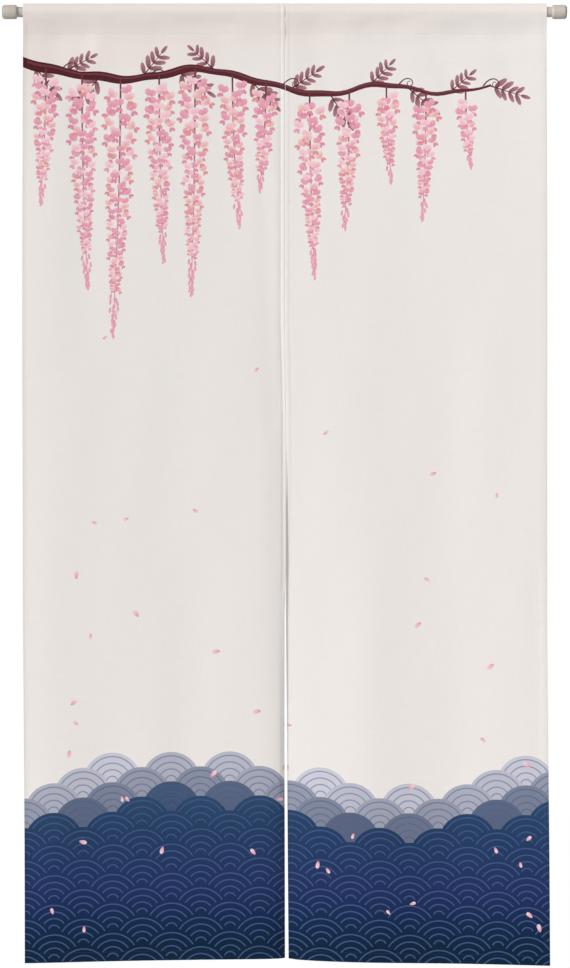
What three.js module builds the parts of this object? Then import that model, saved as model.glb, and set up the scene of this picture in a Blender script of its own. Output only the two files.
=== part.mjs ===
// A two-panel doorway curtain hanging on a round rod with end caps.
// Millimetres, +X right, +Y towards the back, +Z up; the origin is the middle of the rod's axis.
import * as THREE from "three";

// Rod and caps
const rodRadius = 8;
const rodWall = 1;
const rodHalfLength = 434;
const capRadius = 11;
const capOuterX = 440.2;
const capInnerX = 417;
const capEndRound = 4;
const capMouthRound = 2.2;
const capMouthReach = 3.4;
const roundSegments = 28;
const fitGap = 0.3;

// Cloth and its sleeve; sleeveTop is where the sleeve's two slopes would meet above the rod.
// The sleeve's faces close towards its seam over seamClose, and the swells are their depths there.
const clothThickness = 1.2;
const sleeveClearance = 0.35;
const sleeveTop = 14.2;
const sleeveCrease = 2;
const sleeveSeam = 35;
const seamClose = 6;
const seamStart = 1;
const frontSwell = 1.5;
const backSwell = 1.6;
const seamSwell = 0.25;
const flapBelowSeam = 3;
const flapGap = 0.4;
const seamGap = 0.4;
const joinX = 1;
const wrapRadius = rodRadius + sleeveClearance + clothThickness / 2;
const flapOffset = clothThickness + flapGap;

// Heights measured down from the rod's axis
const slitHead = 356;
const upperDrop = 640;
const middleDrop = 760;
const lowDrop = 1060;
const hemDrop = 1481;

// Folds set in over this range below the sleeve's seam
const foldStart = 6;
const foldFull = 120;

// Left panel: each row is a line down the cloth, measured from the outer edge.
// Depths are towards the back, at the slit's head, at three heights below it and at the hem.
const leftFolds = [
  { across: 0, slitHead: -1.8, upper: -2.2, middle: -2.4, low: -2.6, hem: -3.0 },
  { across: 48, slitHead: -3.0, upper: -3.5, middle: -3.8, low: -4.2, hem: -4.6 },
  { across: 130, slitHead: -2.0, upper: -2.3, middle: -2.5, low: -2.7, hem: -2.8 },
  { across: 230, slitHead: -1.0, upper: -1.2, middle: -1.4, low: -1.7, hem: -1.6 },
  { across: 320, slitHead: -0.6, upper: -0.9, middle: -1.0, low: -1.3, hem: -0.8 },
  { across: 372, slitHead: -0.6, upper: -0.7, middle: -0.6, low: -1.0, hem: 0.2 },
  { across: 391, slitHead: -0.4, upper: 0.5, middle: 0.6, low: 0, hem: 2.0 },
  { across: 400, slitHead: -0.2, upper: 1.2, middle: 1.2, low: 1.1, hem: 4.2 },
  { across: 408, slitHead: 0, upper: 1.5, middle: 1.6, low: 3.6, hem: 6.6 },
];

// Right panel: measured from the inner edge.
const rightFolds = [
  { across: 0, slitHead: 0, upper: 1.9, middle: 3.8, low: 7.4, hem: 8.6 },
  { across: 9, slitHead: 0.1, upper: 1.7, middle: 3.5, low: 6.7, hem: 7.6 },
  { across: 48, slitHead: -0.4, upper: 0.6, middle: 1.7, low: 3.6, hem: 3.6 },
  { across: 140, slitHead: -1.6, upper: -1.6, middle: -1.6, low: -1.8, hem: -2.0 },
  { across: 250, slitHead: -1.5, upper: -0.8, middle: -0.4, low: 0, hem: 0.2 },
  { across: 330, slitHead: -2.2, upper: -2.4, middle: -2.5, low: -2.7, hem: -3.0 },
  { across: 409, slitHead: -2.8, upper: -3.8, middle: -4.3, low: -4.9, hem: -5.6 },
];

// Outer edges of each panel, by the drop below the rod's axis.
const leftOuter = [
  { drop: 0, x: -408.0 },
  { drop: 480, x: -409.2 },
  { drop: 690, x: -408.6 },
  { drop: 920, x: -408.0 },
  { drop: 1070, x: -407.0 },
  { drop: 1300, x: -405.4 },
  { drop: hemDrop, x: -405.0 },
];
const rightOuter = [
  { drop: 0, x: 408.6 },
  { drop: 480, x: 409.6 },
  { drop: 690, x: 409.2 },
  { drop: 920, x: 409.4 },
  { drop: 1190, x: 411.4 },
  { drop: 1300, x: 412.6 },
  { drop: hemDrop, x: 413.8 },
];

// Inner edges: joined to the slit's head, side by side below it, then the left one in front, then apart.
const leftInner = [
  { drop: 0, x: joinX - seamGap / 2 },
  { drop: 465, x: joinX - seamGap / 2 },
  { drop: 574, x: 1.7 },
  { drop: 640, x: 2.4 },
  { drop: 855, x: 2.3 },
  { drop: 902, x: 1.1 },
  { drop: 948, x: -0.1 },
  { drop: 1112, x: -0.3 },
  { drop: 1300, x: 0.2 },
  { drop: hemDrop, x: 0.6 },
];
const rightInner = [
  { drop: 0, x: joinX + seamGap / 2 },
  { drop: 465, x: joinX + seamGap / 2 },
  { drop: 574, x: 2.1 },
  { drop: 640, x: 2.8 },
  { drop: 735, x: 2.9 },
  { drop: 778, x: 2.1 },
  { drop: 855, x: 1.9 },
  { drop: 948, x: 2.3 },
  { drop: 1042, x: 3.0 },
  { drop: 1112, x: 3.9 },
  { drop: 1300, x: 4.8 },
  { drop: hemDrop, x: 6.2 },
];

// Bottom edge, by the distance across each panel from the same side as its folds.
const leftHem = [
  { across: 0, drop: 1483.6 },
  { across: 100, drop: 1481.2 },
  { across: 275, drop: 1478.4 },
  { across: 400, drop: 1477.2 },
  { across: 408, drop: 1476.4 },
];
const rightHem = [
  { across: 0, drop: 1477.6 },
  { across: 17, drop: 1479.6 },
  { across: 80, drop: 1482.0 },
  { across: 330, drop: 1485.6 },
  { across: 409, drop: 1487.2 },
];

// Rows of the drop below the sleeve, as shares of the way to the hem.
const dropShares = [
  0.012, 0.035, 0.075, 0.13, 0.2, 0.26, 0.32, 0.37, 0.42, 0.485,
  0.515, 0.56, 0.6, 0.64, 0.71, 0.79, 0.87, 0.95, 1,
];

// Smooth curve through a table's rows: key is its position column, value the column that is read.
function along(rows, key, value, at) {
  let row = 0;
  while (row < rows.length - 2 && at > rows[row + 1][key]) row += 1;
  const step = (k) => {
    const low = rows[THREE.MathUtils.clamp(k, 0, rows.length - 2)];
    const high = rows[THREE.MathUtils.clamp(k, 0, rows.length - 2) + 1];
    return (high[value] - low[value]) / (high[key] - low[key]);
  };
  const slope = (k) => {
    const product = step(k - 1) * step(k);
    return product > 0 ? (2 * product) / (step(k - 1) + step(k)) : 0;
  };
  const from = rows[row];
  const to = rows[row + 1];
  const span = to[key] - from[key];
  const t = THREE.MathUtils.clamp((at - from[key]) / span, 0, 1);
  const rise = to[value] - from[value];
  const startBend = slope(row) * span - rise;
  const endBend = rise - slope(row + 1) * span;
  return from[value] + rise * t + t * (1 - t) * (startBend * (1 - t) + endBend * t);
}

// Depth of the cloth behind the seam's plane at a place across the panel and a drop below the rod.
function foldDepth(folds, across, drop) {
  const heights = [
    { drop: sleeveSeam, depth: 0 },
    { drop: slitHead, depth: along(folds, "across", "slitHead", across) },
    { drop: upperDrop, depth: along(folds, "across", "upper", across) },
    { drop: middleDrop, depth: along(folds, "across", "middle", across) },
    { drop: lowDrop, depth: along(folds, "across", "low", across) },
    { drop: hemDrop, depth: along(folds, "across", "hem", across) },
  ];
  const fromSeam = THREE.MathUtils.smoothstep(drop, sleeveSeam + foldStart, sleeveSeam + foldFull);
  return along(heights, "drop", "depth", drop) * fromSeam;
}

// The sleeve's section as [y, z] points: up behind the rod, over the crease, down in front to the seam.
function sleeveSection() {
  const points = [];
  const lean = Math.acos(wrapRadius / sleeveTop);
  const seamLean = Math.acos(wrapRadius / sleeveSeam);
  const arc = (side, fromAngle, toAngle, steps) => {
    for (let i = 0; i <= steps; i += 1) {
      const angle = fromAngle + ((toAngle - fromAngle) * i) / steps;
      points.push([side * wrapRadius * Math.cos(angle), wrapRadius * Math.sin(angle)]);
    }
  };
  const lowAngle = -(Math.PI / 2 - seamLean);
  const highAngle = Math.PI / 2 - lean;
  points.push([flapOffset, -sleeveSeam - flapBelowSeam]);
  points.push([flapOffset, -sleeveSeam]);
  points.push([flapOffset + backSwell, -sleeveSeam + seamClose]);
  arc(1, lowAngle, highAngle, 6);
  const slopeAngle = Math.PI / 2 - highAngle;
  const creaseCentre = sleeveTop - sleeveCrease / Math.sin(highAngle);
  for (let i = -2; i <= 2; i += 1) {
    const angle = Math.PI / 2 + (slopeAngle * i) / 2;
    points.push([sleeveCrease * Math.cos(angle), creaseCentre + sleeveCrease * Math.sin(angle)]);
  }
  arc(-1, highAngle, lowAngle, 6);
  points.push([-frontSwell, -sleeveSeam + seamClose]);
  points.push([-seamSwell, -sleeveSeam + seamStart]);
  return points;
}

// Closed sheet around a grid of middle points, each row running across the cloth.
function sheet(grid, thickness) {
  const rows = grid.length;
  const columns = grid[0].length;
  const positions = [];
  const index = [];
  const downTangent = new THREE.Vector3();
  const acrossTangent = new THREE.Vector3();
  for (const side of [1, -1]) {
    for (let i = 0; i < rows; i += 1) {
      for (let j = 0; j < columns; j += 1) {
        downTangent.subVectors(grid[Math.min(i + 1, rows - 1)][j], grid[Math.max(i - 1, 0)][j]);
        acrossTangent.subVectors(grid[i][Math.min(j + 1, columns - 1)], grid[i][Math.max(j - 1, 0)]);
        const normal = downTangent.clone().cross(acrossTangent).normalize();
        const point = grid[i][j].clone().addScaledVector(normal, (side * thickness) / 2);
        positions.push(point.x, point.y, point.z);
      }
    }
  }
  const outer = (i, j) => i * columns + j;
  const inner = (i, j) => rows * columns + i * columns + j;
  const quad = (a, b, c, d) => index.push(a, b, c, a, c, d);
  for (let i = 0; i < rows - 1; i += 1) {
    for (let j = 0; j < columns - 1; j += 1) {
      quad(outer(i, j), outer(i + 1, j), outer(i + 1, j + 1), outer(i, j + 1));
      quad(inner(i, j), inner(i, j + 1), inner(i + 1, j + 1), inner(i + 1, j));
    }
    quad(outer(i, 0), inner(i, 0), inner(i + 1, 0), outer(i + 1, 0));
    const last = columns - 1;
    quad(outer(i, last), outer(i + 1, last), inner(i + 1, last), inner(i, last));
  }
  for (let j = 0; j < columns - 1; j += 1) {
    quad(outer(0, j), outer(0, j + 1), inner(0, j + 1), inner(0, j));
    const last = rows - 1;
    quad(outer(last, j), inner(last, j), inner(last, j + 1), outer(last, j + 1));
  }
  const geometry = new THREE.BufferGeometry();
  geometry.setAttribute("position", new THREE.Float32BufferAttribute(positions, 3));
  geometry.setIndex(index);
  geometry.computeVertexNormals();
  return geometry;
}

// One panel: the sleeve's section carried across, then the drop with its folds.
function panel(folds, startEdge, endEdge, hem) {
  const columns = [];
  for (let k = 0; k < folds.length - 1; k += 1) {
    columns.push(folds[k].across, (folds[k].across + folds[k + 1].across) / 2);
  }
  columns.push(folds[folds.length - 1].across);
  const width = columns[columns.length - 1];
  const sideAt = (across, drop) => {
    const start = along(startEdge, "drop", "x", drop);
    const end = along(endEdge, "drop", "x", drop);
    return THREE.MathUtils.lerp(start, end, across / width);
  };
  const grid = [];
  for (const [y, z] of sleeveSection()) {
    grid.push(columns.map((across) => new THREE.Vector3(sideAt(across, 0), y, z)));
  }
  for (const share of dropShares) {
    grid.push(
      columns.map((across) => {
        const bottom = along(hem, "across", "drop", across);
        const drop = THREE.MathUtils.lerp(sleeveSeam, bottom, share);
        return new THREE.Vector3(sideAt(across, drop), foldDepth(folds, across, drop), -drop);
      }),
    );
  }
  return sheet(grid, clothThickness);
}

// Solid of revolution about X from a profile of [radius, x] points.
function turned(profile) {
  const points = profile.map(([radius, x]) => new THREE.Vector2(radius, x));
  const geometry = new THREE.LatheGeometry(points, roundSegments);
  geometry.rotateZ(-Math.PI / 2);
  return geometry;
}

function rodGeometry() {
  const inner = rodRadius - rodWall;
  return turned([
    [inner, -rodHalfLength],
    [rodRadius, -rodHalfLength],
    [rodRadius, rodHalfLength],
    [inner, rodHalfLength],
    [inner, -rodHalfLength],
  ]);
}

// A cap for the +X end: a socket over the tube, rounded at its mouth and its outer end.
function capGeometry() {
  const bore = rodRadius + fitGap;
  const profile = [
    [0, rodHalfLength + fitGap],
    [bore, rodHalfLength + fitGap],
    [bore, capInnerX],
  ];
  const round = (deep, reach, x, fromAngle, toAngle, steps) => {
    for (let i = 0; i <= steps; i += 1) {
      const angle = fromAngle + ((toAngle - fromAngle) * i) / steps;
      profile.push([capRadius - deep + deep * Math.cos(angle), x + reach * Math.sin(angle)]);
    }
  };
  round(capMouthRound, capMouthReach, capInnerX + capMouthReach, -Math.PI / 2, 0, 4);
  round(capEndRound, capEndRound, capOuterX - capEndRound, 0, Math.PI / 2, 5);
  profile.push([0, capOuterX]);
  return turned(profile);
}

const group = new THREE.Group();
group.name = "noren_curtain";

function add(name, geometry, material) {
  const mesh = new THREE.Mesh(geometry, material);
  mesh.name = name;
  group.add(mesh);
  return mesh;
}

const cloth = new THREE.MeshStandardMaterial({ color: 0xe8e2dd, roughness: 0.9, metalness: 0 });
const paintedTube = new THREE.MeshStandardMaterial({ color: 0xe4dfd8, roughness: 0.45, metalness: 0 });
const capPlastic = new THREE.MeshStandardMaterial({ color: 0xd2cac2, roughness: 0.5, metalness: 0 });

add("panel_left", panel(leftFolds, leftOuter, leftInner, leftHem), cloth);
add("panel_right", panel(rightFolds, rightInner, rightOuter, rightHem), cloth);
add("rod", rodGeometry(), paintedTube);
add("cap_right", capGeometry(), capPlastic);
const leftCap = add("cap_left", capGeometry(), capPlastic);
leftCap.rotation.z = Math.PI;

export default group;
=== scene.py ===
import math
import random
import bpy
import numpy as np
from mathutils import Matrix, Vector
from mathutils.geometry import delaunay_2d_cdt


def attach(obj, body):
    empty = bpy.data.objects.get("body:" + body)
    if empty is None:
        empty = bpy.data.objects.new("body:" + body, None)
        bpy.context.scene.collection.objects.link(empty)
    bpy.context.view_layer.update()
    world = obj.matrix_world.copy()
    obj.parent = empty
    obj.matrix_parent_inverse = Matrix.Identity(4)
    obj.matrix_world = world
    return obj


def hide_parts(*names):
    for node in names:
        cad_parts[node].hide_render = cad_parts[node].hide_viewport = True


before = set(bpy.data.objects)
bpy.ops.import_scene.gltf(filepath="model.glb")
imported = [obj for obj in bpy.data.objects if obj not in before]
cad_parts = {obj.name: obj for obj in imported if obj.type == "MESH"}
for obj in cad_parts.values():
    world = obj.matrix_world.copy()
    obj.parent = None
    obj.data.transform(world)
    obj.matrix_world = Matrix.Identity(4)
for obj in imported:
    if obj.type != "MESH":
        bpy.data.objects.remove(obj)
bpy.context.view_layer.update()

mm = 0.001
scene = bpy.context.scene
print("frame loaded:", ", ".join(sorted(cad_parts)))


def linear(hexColour):
    parts = [int(hexColour[i:i + 2], 16) / 255 for i in (1, 3, 5)]
    return [p / 12.92 if p <= 0.04045 else ((p + 0.055) / 1.055) ** 2.4 for p in parts]


def rgba(hexColour):
    return linear(hexColour) + [1.0]


def feed(tree, node, inputs):
    for socket, value in inputs.items():
        if isinstance(value, bpy.types.NodeSocket):
            tree.links.new(value, node.inputs[socket])
        else:
            node.inputs[socket].default_value = value


def addNode(tree, kind, inputs=None, **settings):
    made = tree.nodes.new(kind)
    for name, value in settings.items():
        setattr(made, name, value)
    feed(tree, made, inputs or {})
    return made


def newMaterial(name):
    material = bpy.data.materials.new(name)
    material.use_nodes = True
    return material, material.node_tree, material.node_tree.nodes["Principled BSDF"]


def addPiece(name, mesh):
    piece = bpy.data.objects.new(name, mesh)
    scene.collection.objects.link(piece)
    return piece


def mix(low, high, share):
    return low + (high - low) * share


def ease(low, high, at):
    t = np.clip((at - low) / (high - low), 0.0, 1.0)
    return t * t * (3 - 2 * t)


# smooth curve through rows of values, with no overshoot; a row may hold a value for each point
def through(keys, values, at):
    keys = np.asarray(keys, float)
    values = np.asarray(values, float).reshape(len(keys), -1)
    steps = np.diff(values, axis=0) / np.diff(keys)[:, None]
    before = np.vstack((steps[:1], steps))
    after = np.vstack((steps, steps[-1:]))
    agree = before * after > 0
    slopes = np.where(agree, 2 * before * after / np.where(agree, before + after, 1.0), 0.0)
    row = np.clip(np.searchsorted(keys, at) - 1, 0, len(keys) - 2)
    point = np.arange(len(at)) if values.shape[1] > 1 else np.zeros(len(at), int)
    span = keys[row + 1] - keys[row]
    t = np.clip((at - keys[row]) / span, 0.0, 1.0)
    start = values[row, point]
    rise = values[row + 1, point] - start
    startBend = slopes[row, point] * span - rise
    endBend = rise - slopes[row + 1, point] * span
    return start + rise * t + t * (1 - t) * (startBend * (1 - t) + endBend * t)


def along(rows, key, value, at):
    return through([row[key] for row in rows], [row[value] for row in rows], np.atleast_1d(at))


# a table's rows as dictionaries, from the names of its columns
def table(columns, *rows):
    return [dict(zip(columns.split(), row)) for row in rows]


# The cloth's shape, in millimetres, on the same folds as its solids.
# x runs along the rod, y goes away from the printed face, z is up.

sleeve = {
    "wrap": 8.95,  # rod's axis to the middle of the cloth around it
    "peak": 14.2, "crease": 2.0,  # where the two slopes would meet above the rod
    "seam": 35.0, "bendEnd": 58.0,  # where the cloth below the seam hangs straight
    "flapEnd": 39.0, "flapOffset": 0.8,
    "pull": 22.0, "endPull": 0.3,  # each slope runs on this far before it bends
    "creasePoints": 9, "wrapPoints": 15, "slopePoints": 25,
}
drops = {"slitHead": 356.0, "upper": 640.0, "middle": 760.0, "low": 1060.0, "hem": 1481.0}
cloth = {
    "half": 0.26,  # half the thickness of the plain cloth
    "sideHem": 8.0, "bottomHem": 16.0,
    "stitchIn": 1.3,  # stitches sit this far inside the hem's turned edge
    "hemExtra": 0.36,  # the hem's turned layers, on the back
    "turnSoft": 0.4,  # half the width of the step where they end
    "hemPuff": 0.22,  # where a hem stands out in full, as are groove and edgeRound
    "groove": 0.3, "grooveWide": 1.6, "edgeRound": 0.3, "edgeReach": 1.3,
    "bottomRelief": 0.5,  # how far the bottom hem stands out
    "seamGroove": 0.22, "seamGrooveWide": 1.2,
    "pucker": 0.06, "puckerLong": 17.0,
    "puckerStray": 1.7, "strayRate": 0.23,  # puckers come sooner and later by turns
    # drops between which the folds, the creases and the outer hems' curl set in,
    # the side hems flatten out and the inner hems roll
    "foldsFrom": (41.0, 155.0), "creasesFrom": (0.0, 16.0), "curlFrom": (30.0, 70.0),
    "flatBelow": (780.0, 980.0), "flatten": 0.75, "rollBelow": (480.0, 640.0),
    "creaseFade": 0.6,  # creases fade out more slowly down the cloth than across it
    "sharpOver": 50.0,
}
# slight unevenness all over, as in cloth that has been folded and hung out again
uneven = {
    "depth": 0.2, "across": 21.0, "drop": 240.0, "beatAcross": 95.0, "beatDrop": 130.0,
    "slantDepth": 0.16, "slantAcross": 34.0, "slantDrop": 150.0,
}
leftPanel = {
    "name": "clothLeft", "node": "panel_left", "start": "outer", "end": "inner",
    "flatStart": 0.0, "width": 408.0,
    "folds": table(
        "across slitHead upper middle low hem",
        (0, -1.8, -2.2, -2.4, -2.6, -3.0),
        (48, -3.0, -3.5, -3.8, -4.2, -4.6),
        (130, -2.0, -2.3, -2.5, -2.7, -2.8),
        (230, -1.0, -1.2, -1.4, -1.7, -1.6),
        (320, -0.6, -0.9, -1.0, -1.3, -0.8),
        (372, -0.6, -0.7, -0.6, -1.0, 0.2),
        (391, -0.4, 0.5, 0.6, 0, 2.0),
        (400, -0.2, 1.2, 1.2, 1.1, 4.2),
        (408, 0, 1.5, 1.6, 3.6, 6.6),
    ),
    "outer": table(
        "drop x",
        (0, -408.0), (480, -409.2), (690, -408.6), (920, -408.0),
        (1070, -407.0), (1300, -405.4), (1481, -405.0),
    ),
    "inner": table(
        "drop x",
        (0, 0.8), (465, 0.8), (574, 1.7), (640, 2.4),
        (855, 2.3), (902, 1.1), (948, -0.1), (1112, -0.3),
        (1300, 0.2), (1481, 0.6),
    ),
    "hemRelief": {"outer": 0.2, "inner": 0.8},  # how far each side hem stands out
    "hemRoll": {"outer": 0.0, "inner": 1.5},  # how far its stitches move towards the edge
    "curl": -0.55,  # the outer hem's edge, over 0 towards the back
    "curlWide": 4.5,
    "bottom": table(
        "across drop",
        (0, 1483.6), (100, 1481.2), (275, 1478.4), (400, 1477.2),
        (408, 1476.4),
    ),
    # soft troughs (depth over 0) and ridges, each along a line of (across, drop) on the cloth
    "creases": table(
        "from to wide depth",
        ((10, 36), (96, 38), 13, 1.9),
        ((56, 38), (226, 39), 12, 1.1),
        ((40, 22), (78, 38), 5, 0.5),
        ((66, 18), (96, 34), 5, -0.4),
        ((252, 17), (320, 18), 7, 0.9),
        ((276, 20), (312, 38), 6, 0.6),
        ((322, 16), (386, 40), 6, 0.8),
        ((352, 30), (380, 36), 9, -0.6),
        ((204, 24), (232, 34), 9, -0.5),
        ((160, 10), (196, 15), 9, -0.9),
        ((12, 8), (64, 10), 7, -0.5),
        ((96, 12), (120, 9), 8, -0.6),
        ((300, 9), (352, 12), 8, -0.6),
        ((92, 56), (128, 100), 16, 0.8),
        ((138, 70), (160, 112), 14, 0.6),
        ((48, 60), (88, 150), 22, 0.8),
        ((205, 46), (228, 94), 14, 0.5),
        ((300, 44), (322, 120), 20, 0.6),
        ((92, 170), (100, 520), 26, 0.7),
        ((196, 300), (186, 700), 34, -0.6),
        ((262, 900), (250, 1180), 40, 0.9),
        ((376, 260), (384, 640), 13, 0.7),
        ((401, 120), (401.5, 470), 3.5, 0.35),
        ((401.6, 480), (404, 616), 3.5, 0.5),
        ((404.2, 626), (404.5, 900), 3.5, 0.6),
    ),
}
rightPanel = {
    "name": "clothRight", "node": "panel_right", "start": "inner", "end": "outer",
    "flatStart": 408.0, "width": 409.0,
    "folds": table(
        "across slitHead upper middle low hem",
        (0, 0, 1.9, 3.8, 7.4, 8.6),
        (9, 0.1, 1.7, 3.5, 6.7, 7.6),
        (48, -0.4, 0.6, 1.7, 3.6, 3.6),
        (140, -1.6, -1.6, -1.6, -1.8, -2.0),
        (250, -1.5, -0.8, -0.4, 0, 0.2),
        (330, -2.2, -2.4, -2.5, -2.7, -3.0),
        (409, -2.8, -3.8, -4.3, -4.9, -5.6),
    ),
    "outer": table(
        "drop x",
        (0, 408.6), (480, 409.6), (690, 409.2), (920, 409.4),
        (1190, 411.4), (1300, 412.6), (1481, 413.8),
    ),
    "inner": table(
        "drop x",
        (0, 1.2), (465, 1.2), (574, 2.1), (640, 2.8),
        (735, 2.9), (778, 2.1), (855, 1.9), (948, 2.3),
        (1042, 3.0), (1112, 3.9), (1300, 4.8), (1481, 6.2),
    ),
    "hemRelief": {"inner": 0.4, "outer": 0.15},
    "hemRoll": {"inner": -0.8, "outer": 0.0},
    "curl": 0.6,
    "curlWide": 8.0,
    "bottom": table(
        "across drop",
        (0, 1477.6), (17, 1479.6), (80, 1482.0), (330, 1485.6),
        (409, 1487.2),
    ),
    "creases": table(
        "from to wide depth",
        ((4, 30), (70, 33), 9, 1.0),
        ((40, 20), (84, 40), 6, 0.6),
        ((128, 18), (190, 20), 7, 0.8),
        ((170, 22), (222, 42), 7, 0.7),
        ((262, 32), (380, 35), 11, 1.3),
        ((308, 20), (336, 36), 5, -0.4),
        ((70, 9), (112, 14), 8, -0.8),
        ((224, 10), (276, 13), 9, -0.8),
        ((352, 12), (396, 9), 8, -0.6),
        ((40, 46), (64, 106), 16, 0.6),
        ((232, 44), (262, 120), 18, 0.8),
        ((338, 44), (352, 100), 14, 0.5),
        ((60, 380), (72, 820), 30, -0.5),
        ((160, 640), (196, 1240), 44, 0.9),
        ((300, 560), (286, 980), 36, -0.6),
        ((392, 880), (396, 1300), 12, 0.5),
    ),
}


# the sleeve's section from its top crease down one side: lengths along it, y and z
def sleeveSide(side, endY, endDrop):
    high = math.asin(sleeve["wrap"] / sleeve["peak"])
    low = -math.asin(sleeve["wrap"] / sleeve["seam"])
    creaseCentre = sleeve["peak"] - sleeve["crease"] / math.sin(high)
    turn = np.linspace(0, math.pi / 2 - high, sleeve["creasePoints"])
    y = [sleeve["crease"] * np.sin(turn)]
    z = [creaseCentre + sleeve["crease"] * np.cos(turn)]
    turn = np.linspace(high, low, sleeve["wrapPoints"])
    y.append(sleeve["wrap"] * np.cos(turn))
    z.append(sleeve["wrap"] * np.sin(turn))
    t = np.linspace(0, 1, sleeve["slopePoints"])[1:]
    weights = np.array([(1 - t) ** 3, 3 * t * (1 - t) ** 2, 3 * t * t * (1 - t), t ** 3])
    pullY = y[1][-1] + math.sin(low) * sleeve["pull"]
    pullZ = z[1][-1] - math.cos(low) * sleeve["pull"]
    y.append(np.array([y[1][-1], pullY, side * endY, side * endY]) @ weights)
    z.append(np.array([z[1][-1], pullZ, mix(pullZ, -endDrop, sleeve["endPull"]), -endDrop]) @ weights)
    y = side * np.concatenate(y)
    z = np.concatenate(z)
    lengths = np.concatenate(([0], np.cumsum(np.hypot(np.diff(y), np.diff(z)))))
    return lengths, y, z


frontLengths, frontY, frontZ = sleeveSide(-1, 0.0, sleeve["bendEnd"])
backLengths, backY, backZ = sleeveSide(1, sleeve["flapOffset"], sleeve["flapEnd"])
sleeveDown = frontLengths[-1]  # along the cloth, from the top crease
flapDown = backLengths[-1]
frontSeam = sleeveDown - (sleeve["bendEnd"] - sleeve["seam"])
backSeam = flapDown - (sleeve["flapEnd"] - sleeve["seam"])
fullDown = sleeveDown + drops["hem"] - sleeve["bendEnd"]


def creaseDepth(panel, across, drop):
    total = np.zeros(len(across))
    for crease in panel["creases"]:
        (x0, z0), (x1, z1) = crease["from"], crease["to"]
        share = ((across - x0) * (x1 - x0) + (drop - z0) * (z1 - z0)) / ((x1 - x0) ** 2 + (z1 - z0) ** 2)
        share = np.clip(share, 0, 1)
        away = np.hypot(across - mix(x0, x1, share), (drop - mix(z0, z1, share)) * cloth["creaseFade"])
        total += crease["depth"] * np.exp(-(away / crease["wide"]) ** 2)
    start = panel["flatStart"]
    swell = np.sin(across / uneven["across"] + drop / uneven["drop"] + start)
    beat = np.sin(drop / uneven["beatDrop"] + across / uneven["beatAcross"])
    slant = np.sin(across / uneven["slantAcross"] - drop / uneven["slantDrop"] + 2 * start)
    return total + uneven["depth"] * swell * beat + uneven["slantDepth"] * slant


def foldDepth(panel, across, drop):
    depths = [np.zeros(len(across))]
    for height in drops:
        depths.append(along(panel["folds"], "across", height, across))
    depth = through([sleeve["seam"], *drops.values()], depths, drop)
    return depth * ease(*cloth["foldsFrom"], drop)


# middle of the cloth; down is measured along it from the top crease, below 0 on the sleeve's back
def clothMiddle(panel, across, down):
    across = np.clip(across, 0, panel["width"])
    down = np.clip(down, -flapDown, fullDown)
    y = np.where(down < 0, np.interp(-down, backLengths, backY), np.interp(down, frontLengths, frontY))
    z = np.where(down < 0, np.interp(-down, backLengths, backZ), np.interp(down, frontLengths, frontZ))
    lowest = along(panel["bottom"], "across", "drop", across)
    hung = mix(sleeve["bendEnd"], lowest, (down - sleeveDown) / (fullDown - sleeveDown))
    z = np.where(down > sleeveDown, -hung, z)
    drop = np.maximum(-z, 0)
    sides = [along(panel[panel[end]], "drop", "x", drop) for end in ("start", "end")]
    x = mix(*sides, across / panel["width"])
    y = y + creaseDepth(panel, across, drop) * ease(*cloth["creasesFrom"], drop)
    y = y + foldDepth(panel, across, drop)
    fromOuter = across if panel["start"] == "outer" else panel["width"] - across
    curl = panel["curl"] * np.clip(1 - fromOuter / panel["curlWide"], 0, 1) ** 2
    return np.column_stack((x, y + curl * ease(*cloth["curlFrom"], drop), z))


# how far a side hem's stitches lie from its edge
def stitchLine(panel, side, down):
    rolled = panel["hemRoll"][panel[side]] * ease(*cloth["rollBelow"], down)
    return cloth["sideHem"] - cloth["stitchIn"] - rolled


# points of the printed face and of the back
def clothFaces(panel, across, down):
    tiny = 0.2
    middle = clothMiddle(panel, across, down)
    sideways = clothMiddle(panel, across + tiny, down) - clothMiddle(panel, across - tiny, down)
    downward = clothMiddle(panel, across, down + tiny) - clothMiddle(panel, across, down - tiny)
    back = np.cross(sideways, downward)
    back /= np.linalg.norm(back, axis=1)[:, None]
    front = np.full(len(across), cloth["half"])
    extra = np.zeros(len(across))
    beat = 2 * math.pi / cloth["puckerLong"]
    flatter = 1 - cloth["flatten"] * ease(*cloth["flatBelow"], down)
    hems = []
    for side, edge in (("start", across), ("end", panel["width"] - across)):
        hems.append((edge, stitchLine(panel, side, down), down, panel["hemRelief"][panel[side]] * flatter))
    hems.append((fullDown - down, cloth["bottomHem"] - cloth["stitchIn"], across, cloth["bottomRelief"]))
    for edge, line, run, relief in hems:
        deep = line + cloth["stitchIn"]
        inHem = np.clip(edge / line, 0, 1)
        stray = cloth["puckerStray"] * np.sin(run * beat * cloth["strayRate"])
        puff = cloth["hemPuff"] + cloth["pucker"] * np.sin(run * beat + stray)
        front += relief * puff * np.sin(math.pi * inHem)
        front -= relief * cloth["groove"] * np.exp(-((edge - line) / cloth["grooveWide"]) ** 2)
        front -= relief * cloth["edgeRound"] * np.clip(1 - edge / cloth["edgeReach"], 0, 1) ** 2
        turned = 1 - ease(deep - cloth["turnSoft"], deep + cloth["turnSoft"], edge)
        extra = np.maximum(extra, cloth["hemExtra"] * turned)
    for seam in (frontSeam, -backSeam):
        front -= cloth["seamGroove"] * np.exp(-((down - seam) / cloth["seamGrooveWide"]) ** 2)
    rear = cloth["half"] + extra
    return middle - back * front[:, None], middle + back * rear[:, None]


# The print: hanging flower sprays on a vine, drawn as flat shapes in millimetres.
# u runs across the whole curtain, v down from the top crease.

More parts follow.
